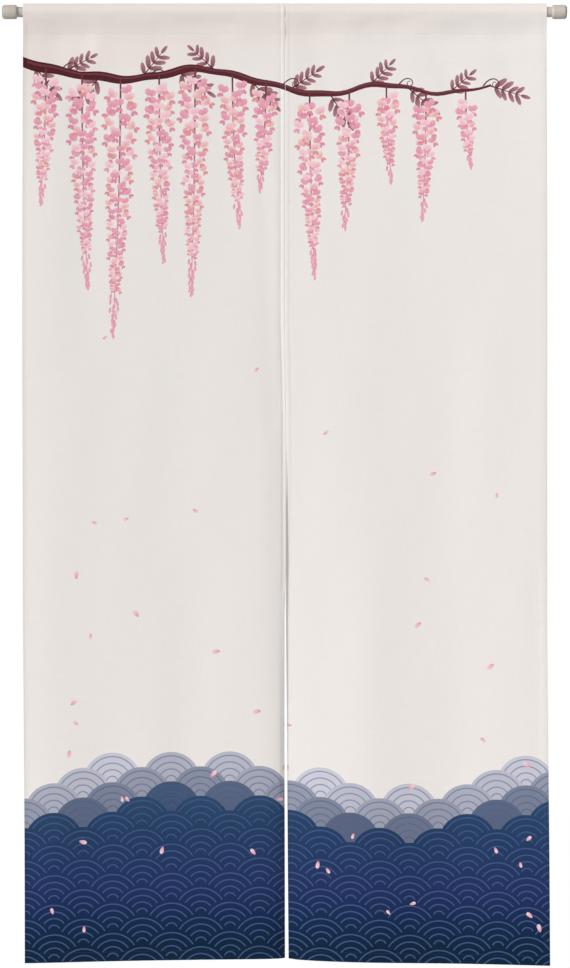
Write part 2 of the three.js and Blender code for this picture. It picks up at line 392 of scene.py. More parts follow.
dyes = {
    "blush": linear("#F7D9DF"), "pink": linear("#EDB0C1"), "rose": linear("#DD8DA4"),
    "coral": linear("#E39A98"), "cream": linear("#F8EBD8"),
    "bark": linear("#4A1A20"), "barkLight": linear("#6B3238"),
    "leafDark": linear("#7B4650"), "leafPale": linear("#B98690"),
}
tints = [("blush", "pink"), ("pink", "rose"), ("blush", "coral")]
shapes = []


def stamp(outline, near, far, centre, reach):
    points = np.array(outline)
    u, v = points[:, 0], points[:, 1]
    if np.sum(u * np.roll(v, -1) - v * np.roll(u, -1)) < 0:  # kept anticlockwise
        points = points[::-1]
    inks = {"near": dyes[near], "far": dyes[far], "centre": centre, "reach": reach}
    shapes.append({"outline": points, **inks})


# a petal with its narrow end at (u, v), pointing along turn
def petalOutline(u, v, turn, long, wide, count, waist=0.5):
    angle = 2 * math.pi * np.arange(count) / count
    ahead = long * (0.5 - 0.5 * np.cos(angle))
    side = 0.5 * wide * np.sin(angle) * (waist + (1 - waist) * ahead / long)
    return np.column_stack((
        u + ahead * math.cos(turn) - side * math.sin(turn),
        v + ahead * math.sin(turn) + side * math.cos(turn),
    ))


def ribbon(u, v, half):
    du, dv = np.gradient(u), np.gradient(v)
    length = np.hypot(du, dv)
    offU, offV = dv / length * half, du / length * half
    one = np.column_stack((u + offU, v - offV))
    two = np.column_stack((u - offU, v + offV))
    return np.vstack((one, two[::-1]))


# a floret's petals in the order in which they are printed, in shares of its size
floretPetals = table(
    "turn apart up long wide points near far reach",
    (math.pi, -0.55, 0, 0.62, 0.62, 7, "outer", "inner", 0.7),
    (math.pi, 0.55, 0, 0.62, 0.62, 7, "outer", "inner", 0.7),
    (0, -0.42, 0, 0.5, 0.34, 6, "rose", "outer", 0.55),
    (0, 0.42, 0, 0.5, 0.34, 6, "rose", "outer", 0.55),
    (0, 0, 0.12, 0.26, 0.2, 4, "cream", "coral", 0.3),
)
bloom = {
    "half": 23.0, "usual": 300.0, "grow": 0.4,  # half the width of a spray of the usual length
    "top": 0.6, "fullBy": 0.2, "taper": 0.8,  # shares of that width down the spray
    "bare": 26.0, "large": 23.0, "small": 8.0, "turn": 2.4, "spacing": 0.27,
    "stray": 1.5, "nod": 0.3, "droop": 0.3, "lean": 0.03,
    "buds": 0.84, "budWide": 0.55, "budPoints": 6,  # past this share of its length they are in bud
    "stem": (1.4, 0.5), "stemStep": 14.0,  # half widths at its top and tip
}


def floret(u, v, size, turn, tint, draw):
    inks = {"inner": tint[0], "outer": tint[1]}
    down = turn + draw.uniform(-bloom["nod"], bloom["nod"])
    for row in floretPetals:
        near, far = (inks.get(row[end], row[end]) for end in ("near", "far"))
        outline = petalOutline(u, v - size * row["up"], down + row["turn"] + row["apart"],
                               size * row["long"], size * row["wide"], row["points"])
        stamp(outline, near, far, (u, v), size * row["reach"])


# a hanging raceme: florets set in a spiral round the stem, open at the top and in bud at the tip
def spray(u, v, length, sway, draw):
    t = np.linspace(0, 1, int(length / bloom["stemStep"]) + 2)
    stem = ribbon(u + sway * t * t, v + length * t, mix(*bloom["stem"], t))
    stamp(stem, "barkLight", "rose", (u, v), length)
    widest = bloom["half"] * (length / bloom["usual"]) ** bloom["grow"]
    blooms = []
    angle = draw.uniform(0, 2 * math.pi)
    t = bloom["bare"] / length
    while t < 1:
        size = mix(bloom["large"], bloom["small"], t)
        reach = widest * mix(bloom["top"], 1.0, ease(0, bloom["fullBy"], t)) * (1 - t) ** bloom["taper"]
        off = reach * math.sin(angle) + draw.uniform(-bloom["stray"], bloom["stray"])
        blooms.append((math.cos(angle), t, off, size))
        angle += bloom["turn"]
        t += size * bloom["spacing"] / length
    for depth, t, off, size in sorted(blooms, key=lambda row: (row[0] > 0, -row[1])):  # far side first
        place = (u + sway * t * t + off, v + length * t - abs(off) * bloom["droop"])
        turn = math.pi / 2 - off * bloom["lean"]
        if t > bloom["buds"]:
            bud = petalOutline(*place, turn, size, size * bloom["budWide"], bloom["budPoints"])
            stamp(bud, "rose", "pink", place, size)
        else:
            floret(*place, size, turn, draw.choice(tints if depth > 0 else tints[1:]), draw)


frond = {
    "pairs": 4, "first": 0.7, "spare": 0.4,  # places along the rib, in leaflets
    "lower": 0.46, "upper": 0.34, "vary": (0.9, 1.1), "spread": (0.7, 0.95),
    "wide": 0.38, "waist": 0.95, "rib": (1.1, 0.5), "points": 8, "ribPoints": 3, "fade": 1.1,
}


# a feathery leaf of narrow leaflets on one rib
def leaf(u, v, turn, long, draw):
    tip = frond["pairs"] * 2
    ahead = np.array([math.cos(turn), math.sin(turn)])
    for k in range(tip + 1):
        t = 1.0 if k == tip else (k // 2 + frond["first"]) / (frond["pairs"] + frond["spare"])
        side = 0 if k == tip else (-1 if k % 2 else 1)
        base = np.array([u, v]) + ahead * long * t
        size = long * mix(frond["lower"], frond["upper"], t) * draw.uniform(*frond["vary"])
        bend = turn + side * draw.uniform(*frond["spread"])
        blade = petalOutline(*base, bend, size, size * frond["wide"], frond["points"], frond["waist"])
        stamp(blade, "leafDark", "leafPale", base, size * frond["fade"])
    t = np.linspace(0, 1, frond["ribPoints"])
    rib = ribbon(u + ahead[0] * long * t, v + ahead[1] * long * t, mix(*frond["rib"], t))
    stamp(rib, "bark", "leafDark", (u, v), long)


shoot = {"points": 26, "curl": 7.5, "tighten": 2.2, "rise": 0.9, "half": (1.1, 0.5)}


# a thin shoot that ends in a curl
def tendril(u, v, long):
    t = np.linspace(0, 1, shoot["points"])
    bend = shoot["curl"] * t ** shoot["tighten"] - shoot["rise"]
    step = long / shoot["points"]
    path = ribbon(u + np.cumsum(np.cos(bend)) * step, v + np.cumsum(np.sin(bend)) * step,
                  mix(*shoot["half"], t))
    stamp(path, "bark", "leafDark", (u, v), long)


vine = table(
    "u v half",
    (-12, 92, 7.5), (70, 112, 7.0), (170, 122, 6.2),
    (270, 106, 5.6), (360, 124, 5.2), (470, 146, 4.4),
    (560, 130, 3.8), (650, 144, 3.0), (730, 132, 2.0),
)
sprays = table(
    "u length sway",
    (36, 210, -8), (92, 330, 10), (152, 400, -12),
    (212, 290, 8), (268, 352, -6), (326, 236, 12),
    (378, 168, -10), (446, 286, 8), (508, 214, -8),
    (566, 150, 8), (628, 196, -6), (690, 118, 8),
)
leaves = table(
    "u turn long",
    (16, 0.9, 54), (64, -0.5, 46), (120, 2.3, 52),
    (184, -0.9, 50), (240, 0.6, 56), (300, -2.4, 46),
    (352, 0.8, 54), (416, -0.6, 48), (478, 1.0, 50),
    (540, -0.8, 44), (600, 0.7, 48), (664, -0.7, 42),
    (728, 0.3, 50),
)
tendrils = table(
    "u long",
    (58, 62), (196, 54), (402, 60), (584, 52), (716, 58),
)
bark = {
    "points": 80, "knots": 0.12, "knotStep": 17.0, "wander": 1.6, "wanderStep": 11.0,
    "lit": slice(2, -6), "litUp": 0.4, "litHalf": 0.22, "fade": 900.0, "seed": 7,
}
drift = {
    "count": 44, "seed": 11, "left": 14, "right": 804, "top": 430.0, "bottom": 1450.0, "sink": 0.7,
    "small": 9.0, "large": 14.0, "wide": 0.66, "points": 9, "fade": 1.1,
}


def vineHeight(u):
    return along(vine, "u", "v", u)


def drawPrint():
    draw = random.Random(bark["seed"])
    for row in leaves:
        leaf(row["u"], vineHeight(row["u"])[0], row["turn"], row["long"], draw)
    for row in tendrils:
        tendril(row["u"], vineHeight(row["u"])[0], row["long"])
    u = np.linspace(vine[0]["u"], vine[-1]["u"], bark["points"])
    half = along(vine, "u", "half", u) * (1 + bark["knots"] * np.sin(u / bark["knotStep"]))
    v = vineHeight(u) + bark["wander"] * np.sin(u / bark["wanderStep"])
    stamp(ribbon(u, v, half), "bark", "barkLight", (0, 0), bark["fade"])
    lit = bark["lit"]
    light = ribbon(u[lit], v[lit] - half[lit] * bark["litUp"], half[lit] * bark["litHalf"])
    stamp(light, "barkLight", "leafDark", (0, 0), bark["fade"])
    for row in sprays:
        spray(row["u"], vineHeight(row["u"])[0], row["length"], row["sway"], draw)
    petals = random.Random(drift["seed"])
    for k in range(drift["count"]):
        place = (petals.uniform(drift["left"], drift["right"]),
                 mix(drift["top"], drift["bottom"], petals.random() ** drift["sink"]))
        size = petals.uniform(drift["small"], drift["large"])
        turn = petals.uniform(0, 2 * math.pi)
        outline = petalOutline(*place, turn, size, size * drift["wide"], drift["points"])
        stamp(outline, "rose", "blush", place, size * drift["fade"])


drawPrint()
print("print drawn:", len(shapes), "shapes")


def spaced(low, high, step):
    return list(np.linspace(low, high, max(1, round((high - low) / step)), endpoint=False))


grid = {
    "hemColumns": [0, 0.4, 0.9, 1.6, 3.2, 4.9, 5.7, 6.2, 6.7, 7.2, 7.7, 8.4, 11],  # from each side edge
    "middleIn": 17, "middleStep": 8.5,
    "seamReach": 3, "seamStep": 0.7,  # on both sides of a line of stitches
    "creaseReach": 7, "creaseStep": 1.0, "flapStep": 1.0, "backStep": 3.2, "frontStep": 2.4,
    "upperEnd": 150, "upperStep": 5.0, "lowerStep": 9.0, "hemStep": 4.0,
    "footStep": 2.6, "footRows": (1.6, 0.9, 0.4, 0),  # from the bottom edge
}


# rows at and from each place to the next, each stretch with its own step
def rowsBetween(*stretches):
    rows = []
    for (low, step), end in zip(stretches, stretches[1:]):
        rows += spaced(low, end[0], step)
    return rows


# points of the plain cloth: close together along hems, seam and crease
def panelGrid(panel):
    wide = panel["width"]
    hemColumns = grid["hemColumns"] + [wide - column for column in reversed(grid["hemColumns"])]
    inner = wide - grid["middleIn"]
    middleColumns = spaced(grid["middleIn"], inner, grid["middleStep"]) + [inner]
    hemLine = fullDown - cloth["bottomHem"] + cloth["stitchIn"]
    reach, fine = grid["seamReach"], grid["seamStep"]
    crease = grid["creaseReach"]
    head = rowsBetween(
        (-flapDown, grid["flapStep"]), (-backSeam - reach, fine), (-backSeam + reach, grid["backStep"]),
        (-crease, grid["creaseStep"]), (crease, grid["frontStep"]), (frontSeam - reach, fine),
        (frontSeam + reach, None),
    )
    footRows = [fullDown - row for row in grid["footRows"]]
    foot = rowsBetween((hemLine - reach, fine), (hemLine + reach, grid["footStep"]), (footRows[0], None))
    foot += footRows
    below, above = (frontSeam + reach, grid["hemStep"]), (hemLine - reach, None)
    hemRows = head + rowsBetween(below, above) + foot
    upper, lower = (frontSeam + reach, grid["upperStep"]), (grid["upperEnd"], grid["lowerStep"])
    middleRows = head + rowsBetween(upper, lower, above) + foot
    inside = [(c, r) for r in middleRows[1:-1] for c in middleColumns]
    inside += [(c, r) for r in hemRows[1:-1] for c in hemColumns[1:-1]]
    columns = sorted(hemColumns + middleColumns)
    rim = [(c, hemRows[0]) for c in columns] + [(wide, r) for r in hemRows[1:]]
    rim += [(c, fullDown) for c in columns[-2::-1]] + [(0, r) for r in hemRows[-2:0:-1]]
    return rim, inside


def dyeAt(ids, u, v):
    shape = shapes[max(ids)]  # the last one printed lies on top
    share = min(math.hypot(u - shape["centre"][0], v - shape["centre"][1]) / shape["reach"], 1.0)
    return [mix(near, far, share) for near, far in zip(shape["near"], shape["far"])] + [1.0]


cut = {"insideOnly": 1, "nearest": 1e-3}  # keeps what is inside the outlines, and joins closer points


def triangulate(rim, inside, outlines):
    points = list(rim) + list(inside)
    polygons = [list(range(len(rim)))]
    for outline in outlines:
        polygons.append(list(range(len(points), len(points) + len(outline))))
        points.extend(outline)
    places = [Vector(p) for p in points]
    made = delaunay_2d_cdt(places, [], polygons, cut["insideOnly"], cut["nearest"], True)
    kept = [(t, ids) for t, ids in zip(made[2], made[5]) if 0 in ids]
    return np.array([tuple(p) for p in made[0]]), kept


# places of the printed face and of the back side by side on one square map
bakeRoom = {"left": 0.01, "back": 0.5, "wide": 0.47, "top": 0.995, "tall": 0.99}


def buildPanel(panel, materials):
    rim, inside = panelGrid(panel)
    start = panel["flatStart"]
    used = []  # the shapes that reach this panel
    for k, shape in enumerate(shapes):
        u = shape["outline"][:, 0] - start
        if u.max() > 0 and u.min() < panel["width"]:
            used.append(k)
    outlines = [shapes[k]["outline"] - (start, 0) for k in used]
    flat, kept = triangulate(rim, inside, outlines)
    print(panel["name"], "cut:", len(kept), "triangles on its face")
    triangles = np.array([t for t, ids in kept])
    numbers, triangles = np.unique(triangles, return_inverse=True)
    triangles = triangles.reshape(-1, 3)
    flat = flat[numbers]
    count = len(flat)
    printed, rear = clothFaces(panel, flat[:, 0], flat[:, 1])
    edges = np.vstack((triangles[:, [0, 1]], triangles[:, [1, 2]], triangles[:, [2, 0]]))
    paired = set(map(tuple, edges[:, ::-1]))
    border = np.array([e for e in map(tuple, edges) if e not in paired])
    dye = np.zeros((len(kept), 3, 4))
    for k, (t, ids) in enumerate(kept):
        owners = [used[i - 1] for i in ids if i]
        if owners:
            for c in range(3):
                dye[k, c] = dyeAt(owners, *(flat[triangles[k, c]] + (start, 0)))
    faces = np.vstack((triangles[:, ::-1], triangles + count))
    rims = np.column_stack((border[:, 1] + count, border[:, 0] + count, border[:, 0], border[:, 1]))
    corners = np.concatenate((triangles[:, ::-1].ravel(), triangles.ravel(), rims.ravel() % count))
    colours = np.vstack((dye[:, ::-1].reshape(-1, 4), dye.reshape(-1, 4), np.zeros((rims.size, 4))))
    flatMap = (flat[corners] + (start, 0)) * mm
    onBack = np.repeat([0, 1, 0], [triangles.size, triangles.size, rims.size]) * bakeRoom["back"]
    bakeU = bakeRoom["left"] + onBack + bakeRoom["wide"] * flat[corners, 0] / panel["width"]
    bakeV = bakeRoom["top"] - bakeRoom["tall"] * (flat[corners, 1] + flapDown) / (fullDown + flapDown)
    mesh = bpy.data.meshes.new(panel["name"])
    mesh.from_pydata(np.vstack((printed, rear)) * mm, [], faces.tolist() + rims.tolist())
    mesh.attributes.new("dye", "FLOAT_COLOR", "CORNER").data.foreach_set("color", colours.ravel())
    mesh.uv_layers.new(name="clothFlat").data.foreach_set("uv", flatMap.ravel())
    mesh.uv_layers.new(name="OFBake").data.foreach_set("uv", np.column_stack((bakeU, bakeV)).ravel())
    for material in materials:
        mesh.materials.append(material)
    sides = np.repeat([0, 1, 0], [len(triangles), len(triangles), len(rims)])
    mesh.polygons.foreach_set("material_index", sides)
    mesh.shade_smooth()
    mesh.set_sharp_from_angle(angle=math.radians(cloth["sharpOver"]))
    print(panel["name"], "built:", len(mesh.polygons), "faces")
    return addPiece(panel["name"], mesh)


waves = {
    "radius": 46.0, "rings": 4.5, "line": 0.8,  # a scale's size, and the share of a ring before its line
    "firstRow": 53.4, "paleRows": 3.0,
    "swellRows": 1.3, "swellLength": 640.0, "swellStart": 2.2,  # the band's upper edge rises and falls
}
weave = {
    "pitch": 1.3, "height": 0.12,  # the threads are about 0.5 mm apart, too fine to show
    "slubLong": 38.0, "slubWide": 1.7, "slubShare": 0.6,  # a share of the threads' own height
    "streakDark": 0.982, "streakPale": 1.015,
}
# painted warm shade: the cloth is a little warmer near the top, standing in for warmer light there, further
# down at the left than at the right
paintedWarmShade = {"slant": 0.15, "start": 115.0, "end": 165.0}
navy = [(0.82, "#2C4A6C"), (0.86, "#203C60"), (0.925, "#1C2C5C"), (0.96, "#062648"), (0.985, "#002038")]


# printed polyester plain weave with slubs: dull, softly streaked along both threads, dyed in the face
def printedCloth(name, strength):
    material, tree, surface = newMaterial(name)
    flat = addNode(tree, "ShaderNodeAttribute", attribute_name="clothFlat").outputs["Vector"]
    split = addNode(tree, "ShaderNodeSeparateXYZ", {0: flat}).outputs
    dye = addNode(tree, "ShaderNodeAttribute", attribute_name="dye").outputs
    values = {
        "flatX": split["X"], "flatY": split["Y"], "dye": dye["Color"], "dyeShare": dye["Alpha"],
        "lowOffset": 1.0, "midOffset": 0.0, "highOffset": -1.0,
        "uncovered": 1.0, "band": 0.0, "far": 0.0, "deep": 0.0,
    }
    radius = waves["radius"]
    # overlapping round scales in rows: each step is a result, an operation and its terms,
    # and a name that starts with a point is a scale's own
    steps = [
        ("across", "MULTIPLY", "flatX", 1 / mm),
        ("down", "MULTIPLY", "flatY", 1 / mm),
        ("rowsDown", "DIVIDE", "down", radius / 2),
        ("rowUnder", "CEIL", "rowsDown"),
    ]
    scaleSteps = [
        (".Row", "ADD", "rowUnder", ".Offset"),
        (".Odd", "FLOORED_MODULO", ".Row", 2.0),
        (".Shift", "MULTIPLY", ".Odd", radius),
        (".Along", "SUBTRACT", "across", ".Shift"),
        (".Cells", "DIVIDE", ".Along", 2 * radius),
        (".Cell", "ROUND", ".Cells"),
        (".Centre", "MULTIPLY_ADD", ".Cell", 2 * radius, ".Shift"),
        (".Side", "SUBTRACT", "across", ".Centre"),
        (".RowDown", "MULTIPLY", ".Row", radius / 2),
        (".Drop", "SUBTRACT", "down", ".RowDown"),
        (".SideSquare", "MULTIPLY", ".Side", ".Side"),
        (".Square", "MULTIPLY_ADD", ".Drop", ".Drop", ".SideSquare"),
        (".Far", "SQRT", ".Square"),
        (".Inside", "LESS_THAN", ".Far", radius),
        (".Swell", "MULTIPLY_ADD", ".Centre", 2 * math.pi / waves["swellLength"], waves["swellStart"]),
        (".Sine", "SINE", ".Swell"),
        (".Start", "MULTIPLY_ADD", ".Sine", waves["swellRows"], waves["firstRow"]),
        (".Begun", "GREATER_THAN", ".Row", ".Start"),
        (".Cover", "MULTIPLY", ".Inside", ".Begun"),
        (".Deep", "SUBTRACT", ".Row", ".Start"),
        (".Only", "MULTIPLY", ".Cover", "uncovered"),
        ("uncovered", "SUBTRACT", "uncovered", ".Only"),
        ("band", "ADD", "band", ".Only"),
        ("far", "MULTIPLY_ADD", ".Far", ".Only", "far"),
        ("deep", "MULTIPLY_ADD", ".Deep", ".Only", "deep"),
    ]
    for layer in ("low", "mid", "high"):  # the low scale is on top
        for step in scaleSteps:
            steps.append([layer + part[1:] if str(part).startswith(".") else part for part in step])
    steps += [
        ("deepShare", "DIVIDE", "deep", waves["paleRows"]),
        ("ringsOut", "MULTIPLY", "far", waves["rings"] / radius),
        ("ringPart", "FRACT", "ringsOut"),
        ("line", "GREATER_THAN", "ringPart", waves["line"]),
        ("downShare", "DIVIDE", "down", fullDown),
        ("downSlant", "MULTIPLY_ADD", "across", paintedWarmShade["slant"], "down"),
        ("inkBand", "MULTIPLY", "band", strength),
        ("inkDye", "MULTIPLY", "dyeShare", strength),
    ]
    for result, operation, *terms in steps:
        inputs = {k: values.get(term, term) for k, term in enumerate(terms)}
        values[result] = addNode(tree, "ShaderNodeMath", inputs, operation=operation).outputs[0]
    depths = addNode(tree, "ShaderNodeValToRGB", {"Fac": values["downShare"]})
    ramp = depths.color_ramp
    while len(ramp.elements) < len(navy):
        ramp.elements.new(0.5)
    for element, (at, tone) in zip(ramp.elements, navy):
        element.position = at
        element.color = rgba(tone)
    values["navy"] = depths.outputs[0]
    values["crest"] = addNode(tree, "ShaderNodeClamp", {"Value": values["deepShare"]}).outputs[0]
    # painted warm shade: the plain cloth's colour is warmer above this band and its usual colour below it
    warm = {"Value": values["downSlant"], "From Min": paintedWarmShade["start"], "From Max": paintedWarmShade["end"]}
    values["below"] = addNode(tree, "ShaderNodeMapRange", warm).outputs[0]
    blends = [  # each is a result, the second colour's share and the two colours
        ("scale", "crest", rgba("#CDCBD6"), "navy"),
        ("lines", "crest", rgba("#8E99B8"), rgba("#3C5384")),
        ("wave", "line", "scale", "lines"),
        ("plain", "below", rgba("#EBE2DD"), rgba("#EBE6E2")),
        ("ground", "inkBand", "plain", "wave"),
        ("printed", "inkDye", "ground", "dye"),
    ]
    for result, *terms in blends:
        terms = [values[term] if isinstance(term, str) else term for term in terms]
        inputs = dict(zip((0, 6, 7), terms))
        values[result] = addNode(tree, "ShaderNodeMix", inputs, data_type="RGBA").outputs[2]
    # slubs along both threads, and the ridges where threads cross
    slubs = []
    for sizeX, sizeY in ((weave["slubLong"], weave["slubWide"]), (weave["slubWide"], weave["slubLong"])):
        stretch = addNode(tree, "ShaderNodeMapping",
                          {"Vector": flat, "Scale": (1 / (sizeX * mm), 1 / (sizeY * mm), 1)})
        grain = addNode(tree, "ShaderNodeTexNoise",
                        {"Vector": stretch.outputs[0], "Scale": 1.0, "Detail": 3.0})
        slubs.append(grain.outputs[0])
    slub = addNode(tree, "ShaderNodeMath", {0: slubs[0], 1: slubs[1]}, operation="ADD").outputs[0]
    streak = addNode(tree, "ShaderNodeMapRange", {
        "Value": slub, "From Min": 0.7, "From Max": 1.3,
        "To Min": weave["streakDark"], "To Max": weave["streakPale"],
    })
    woven = addNode(tree, "ShaderNodeMix", {0: 1.0, 6: values["printed"], 7: streak.outputs[0]},
                    blend_type="MULTIPLY", data_type="RGBA")
    threads = []
    threadScale = 2 * math.pi / (20 * weave["pitch"] * mm)  # a wave texture's scale for that pitch
    for direction in ("X", "Y"):
        threads.append(addNode(tree, "ShaderNodeTexWave",
                               {"Vector": flat, "Scale": threadScale, "Distortion": 0.6},
                               bands_direction=direction).outputs["Fac"])
    over = addNode(tree, "ShaderNodeMath", {0: threads[0], 1: threads[1]}, operation="MAXIMUM")
    relief = addNode(tree, "ShaderNodeMath", {0: slub, 1: weave["slubShare"], 2: over.outputs[0]},
                     operation="MULTIPLY_ADD")
    bump = addNode(tree, "ShaderNodeBump",
                   {"Height": relief.outputs[0], "Strength": 0.25, "Distance": weave["height"] * mm})
    feed(tree, surface, {
        "Base Color": woven.outputs[2], "Normal": bump.outputs[0], "Roughness": 0.88,
        "Specular IOR Level": 0.15, "Sheen Weight": 0.06, "Sheen Roughness": 0.5,
    })
    return material


clothMaterials = [printedCloth("printedPlainWeave", 1.0), printedCloth("printedPlainWeaveBack", 0.5)]
panels = [buildPanel(panel, clothMaterials) for panel in (leftPanel, rightPanel)]


stitch = {
    "spacing": 3.2, "long": 2.6, "thick": 0.34, "lift": 0.03,
    "step": 4.0, "flapIn": 3, "backFrom": 5, "endIn": 2,  # of the runs along the hems
    "joinStep": 5.0, "joinHalf": 0.8, "joinFrom": 8, "joinIn": 1.0,
    "closeEnd": 6, "closeStep": 1.0,  # closer at the slit's head
}
threadMaterial = printedCloth("printedPolyesterThread", 0.92)  # the curtain was printed after sewing


def stitchTree():
    tree = bpy.data.node_groups.new("stitchRun", "GeometryNodeTree")
    tree.interface.new_socket("Path", in_out="INPUT", socket_type="NodeSocketGeometry")
    for name in ("Spacing", "Stitch length", "Thread thickness"):
        tree.interface.new_socket(name, in_out="INPUT", socket_type="NodeSocketFloat")
    tree.interface.new_socket("Thread", in_out="INPUT", socket_type="NodeSocketMaterial")
    tree.interface.new_socket("Stitches", in_out="OUTPUT", socket_type="NodeSocketGeometry")
    given = addNode(tree, "NodeGroupInput").outputs
    path = addNode(tree, "GeometryNodeMeshToCurve", {"Mesh": given["Path"]})
    places = addNode(tree, "GeometryNodeResampleCurve",
                     {"Curve": path.outputs[0], "Length": given["Spacing"]}, mode="LENGTH")
    tangent = addNode(tree, "GeometryNodeInputTangent")
    turn = addNode(tree, "FunctionNodeAlignRotationToVector", {"Vector": tangent.outputs[0]}, axis="X")
    bead = addNode(tree, "GeometryNodeMeshUVSphere", {"Segments": 6, "Rings": 4, "Radius": 0.5})
    thick = given["Thread thickness"]
    size = addNode(tree, "ShaderNodeCombineXYZ", {0: given["Stitch length"], 1: thick, 2: thick})
    loop = addNode(tree, "GeometryNodeTransform", {"Geometry": bead.outputs[0], "Scale": size.outputs[0]})
    sewn = addNode(tree, "GeometryNodeInstanceOnPoints",
                   {"Points": places.outputs[0], "Instance": loop.outputs[0], "Rotation": turn.outputs[0]})
    real = addNode(tree, "GeometryNodeRealizeInstances", {0: sewn.outputs[0]})
    threaded = addNode(tree, "GeometryNodeSetMaterial",
                       {"Geometry": real.outputs[0], "Material": given["Thread"]})
    addNode(tree, "NodeGroupOutput", {"Stitches": threaded.outputs[0]})
    return tree


stitchGroup = stitchTree()


# dye of the print at places on the flat cloth
def dyeUnder(u, v):
    colours = np.zeros((len(u), 4))
    for shape in shapes:  # later ones lie on top
        start = shape["outline"]
        end = np.roll(start, -1, axis=0)
        low, high = start.min(axis=0), start.max(axis=0)
        near = np.nonzero((u > low[0]) & (u < high[0]) & (v > low[1]) & (v < high[1]))[0]
        level = v[near, None]
        between = (start[:, 1] > level) != (end[:, 1] > level)
        rise = np.where(between, end[:, 1] - start[:, 1], 1.0)
        meets = start[:, 0] + (end[:, 0] - start[:, 0]) * (level - start[:, 1]) / rise
        inside = np.sum(between & (u[near, None] < meets), axis=1) % 2 == 1
        colours[near[inside]] = shape["near"] + [1.0]
    return colours


# each run holds its points and their places on the flat cloth
def sewRuns(name, runs):
    points = np.vstack([points for points, flat in runs])
    flat = np.vstack([flat for points, flat in runs])
    ends = np.cumsum([len(points) for points, flat in runs])
    edges = [(k, k + 1) for k in range(len(points) - 1) if k + 1 not in ends]
    mesh = bpy.data.meshes.new(name + "Path")
    mesh.from_pydata(points * mm, edges, [])
    dye = dyeUnder(flat[:, 0], flat[:, 1])
    mesh.attributes.new("dye", "FLOAT_COLOR", "POINT").data.foreach_set("color", dye.ravel())
    place = np.column_stack((flat * mm, np.zeros(len(flat))))
    mesh.attributes.new("clothFlat", "FLOAT_VECTOR", "POINT").data.foreach_set("vector", place.ravel())
    carrier = addPiece(name + "Path", mesh)
    modifier = carrier.modifiers.new("stitchRun", "NODES")
    modifier.node_group = stitchGroup
    given = {
        "Spacing": stitch["spacing"] * mm,
        "Stitch length": stitch["long"] * mm,
        "Thread thickness": stitch["thick"] * mm,
        "Thread": threadMaterial,
    }
    for item in stitchGroup.interface.items_tree:
        if item.in_out == "INPUT" and item.name in given:
            modifier[item.identifier] = given[item.name]
    evaluated = carrier.evaluated_get(bpy.context.evaluated_depsgraph_get())
    sewn = bpy.data.meshes.new_from_object(evaluated)
    sewn.name = name
    bpy.data.objects.remove(carrier)
    print(name, "sewn:", len(sewn.polygons), "faces")
    return addPiece(name, sewn)


def hemRuns(panel):
    bottomLine = fullDown - cloth["bottomHem"] + cloth["stitchIn"]
    sides = np.array(spaced(-flapDown + stitch["flapIn"], bottomLine, stitch["step"]) + [bottomLine])
    hung = sides[sides > frontSeam + stitch["backFrom"]]
    last = panel["width"] - stitch["endIn"]
    width = np.array(spaced(stitch["endIn"], last, stitch["step"]) + [last])
    lines = []
    for downs, face in ((sides, 0), (hung, 1)):
        lines.append((stitchLine(panel, "start", downs), downs, face))
        lines.append((panel["width"] - stitchLine(panel, "end", downs), downs, face))
    for down, face in ((bottomLine, 0), (bottomLine, 1), (frontSeam, 0), (-backSeam, 0)):
        lines.append((width, np.full(len(width), down), face))
    runs = []
    for across, down, face in lines:
        faces = clothFaces(panel, across, down)
        outward = faces[face] - faces[1 - face]
        outward /= np.linalg.norm(outward, axis=1)[:, None]
        flat = np.column_stack((across + panel["flatStart"], down))
        runs.append((faces[face] + outward * stitch["lift"], flat))
    return runs


# short threads across the join of the two panels, on the back, from the sleeve to the slit's head
def joinRuns():
    edge = leftPanel["width"]
    last = sleeveDown + drops["slitHead"] - sleeve["bendEnd"]
    close = last - stitch["closeEnd"]
    downs = np.array(spaced(frontSeam + stitch["joinFrom"], close, stitch["joinStep"])
                     + spaced(close, last, stitch["closeStep"]))
    rear = clothFaces(leftPanel, np.full(len(downs), edge - stitch["joinIn"]), downs)[1]
    middle = mix(leftPanel["inner"][0]["x"], rightPanel["inner"][0]["x"], 0.5)
    runs = []
    for (x, y, z), down in zip(rear, downs):
        ends = np.array([(middle + side * stitch["joinHalf"], y, z) for side in (-1, 1)])
        runs.append((ends, np.array([(edge, down), (edge, down)])))
    return runs


stitches = [sewRuns("hemStitchesLeft", hemRuns(leftPanel)), sewRuns("hemStitchesRight", hemRuns(rightPanel))]
joinThreads = sewRuns("joinStitches", joinRuns())

rod = {"radius": 8.0, "wall": 1.0, "half": 434.0, "sides": 72, "peel": 1.8}
sharpOver = 40.0
cap = {
    "radius": 11.0, "outer": 440.2, "inner": 417.0, "sides": 64,
    "endRound": 4.0, "endPoints": 11, "mouthRound": 2.2, "mouthReach": 3.4, "mouthPoints": 7, "gap": 0.3,
    # painted shade: the end's rim darkens between the next line's first two lengths, by its third value
    "rimShadeFrom": 436.6, "rimShadeFull": 439.4, "rimShade": 0.8, "cloud": 9.0, "grit": 0.5,
}


